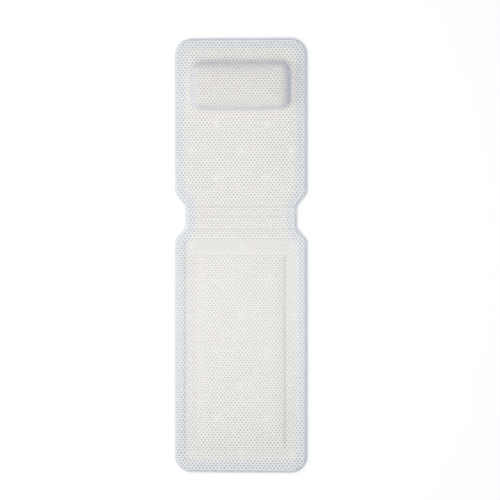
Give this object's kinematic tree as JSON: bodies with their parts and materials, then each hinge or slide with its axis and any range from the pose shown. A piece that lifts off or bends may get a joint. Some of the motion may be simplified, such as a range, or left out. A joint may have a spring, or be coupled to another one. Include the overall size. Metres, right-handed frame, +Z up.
{
  "type": "full-body bath mat",
  "caption": "Long padded bath mat of dotted mesh with a raised head pillow, a folding ribbed waist, a seat pad framed by a pressed channel, and suction cups underneath.",
  "frame": {"origin": "on the floor under the middle of the mat's length and width, at the level of the cup rims", "axes": "+Z up, +Y along the mat towards the head pillow, +X to the right of a person lying on it"},
  "size_m": [0.384, 1.25, 0.0716],
  "materials": {
    "mesh_cover": "matt white spacer mesh with staggered round holes",
    "base_sheet": "matt white close mesh",
    "edge_tape": "smooth woven tape, slightly cool white",
    "fused_seam": "smooth heat-fused seam",
    "foam": "open-cell foam, matt",
    "clear_vinyl": "clear soft vinyl, glossy"
  },
  "bodies": {
    "seat_panel": {"seat_top_sheet": "mesh_cover", "seat_foam": "foam", "seat_base_sheet": "base_sheet", "seat_edge_binding": "edge_tape", "crease_weld_lower": "fused_seam", "seat_cup_1": "clear_vinyl", "seat_cup_2": "clear_vinyl", "seat_cup_3": "clear_vinyl", "seat_cup_4": "clear_vinyl", "seat_cup_5": "clear_vinyl", "seat_cup_6": "clear_vinyl", "seat_cup_7": "clear_vinyl", "seat_cup_8": "clear_vinyl", "seat_cup_9": "clear_vinyl", "seat_cup_10": "clear_vinyl", "seat_cup_11": "clear_vinyl", "seat_cup_12": "clear_vinyl", "seat_cup_13": "clear_vinyl", "seat_cup_14": "clear_vinyl", "seat_cup_15": "clear_vinyl", "seat_cup_16": "clear_vinyl", "seat_cup_17": "clear_vinyl", "seat_cup_18": "clear_vinyl"},
    "lower_rib": {"lower_rib_top_sheet": "mesh_cover", "lower_rib_foam": "foam", "lower_rib_base_sheet": "base_sheet", "lower_rib_binding_left": "edge_tape", "lower_rib_binding_right": "edge_tape"},
    "upper_rib": {"upper_rib_top_sheet": "mesh_cover", "upper_rib_foam": "foam", "upper_rib_base_sheet": "base_sheet", "upper_rib_binding_left": "edge_tape", "upper_rib_binding_right": "edge_tape", "crease_weld_middle": "fused_seam"},
    "back_panel": {"back_top_sheet": "mesh_cover", "back_foam": "foam", "back_base_sheet": "base_sheet", "back_edge_binding": "edge_tape", "crease_weld_upper": "fused_seam", "pillow_cover": "mesh_cover", "pillow_foam": "foam", "back_cup_1": "clear_vinyl", "back_cup_2": "clear_vinyl", "back_cup_3": "clear_vinyl", "back_cup_4": "clear_vinyl", "back_cup_5": "clear_vinyl", "back_cup_6": "clear_vinyl", "back_cup_7": "clear_vinyl", "back_cup_8": "clear_vinyl", "back_cup_9": "clear_vinyl", "back_cup_10": "clear_vinyl", "back_cup_11": "clear_vinyl", "back_cup_12": "clear_vinyl"}
  },
  "joints": [
    {"name": "lower_crease_fold", "type": "hinge", "parent": "seat_panel", "child": "lower_rib", "pos_m": [0, 0.0735, 0.009], "axis": [1, 0, 0], "range_deg": [-57, 57], "stiffness_Nm_per_rad": 0.15},
    {"name": "middle_crease_fold", "type": "hinge", "parent": "lower_rib", "child": "upper_rib", "pos_m": [0, 0.112, 0.009], "axis": [1, 0, 0], "range_deg": [-57, 57], "stiffness_Nm_per_rad": 0.15},
    {"name": "upper_crease_fold", "type": "hinge", "parent": "upper_rib", "child": "back_panel", "pos_m": [0, 0.141, 0.009], "axis": [1, 0, 0], "range_deg": [-57, 57], "stiffness_Nm_per_rad": 0.15}
  ]
}
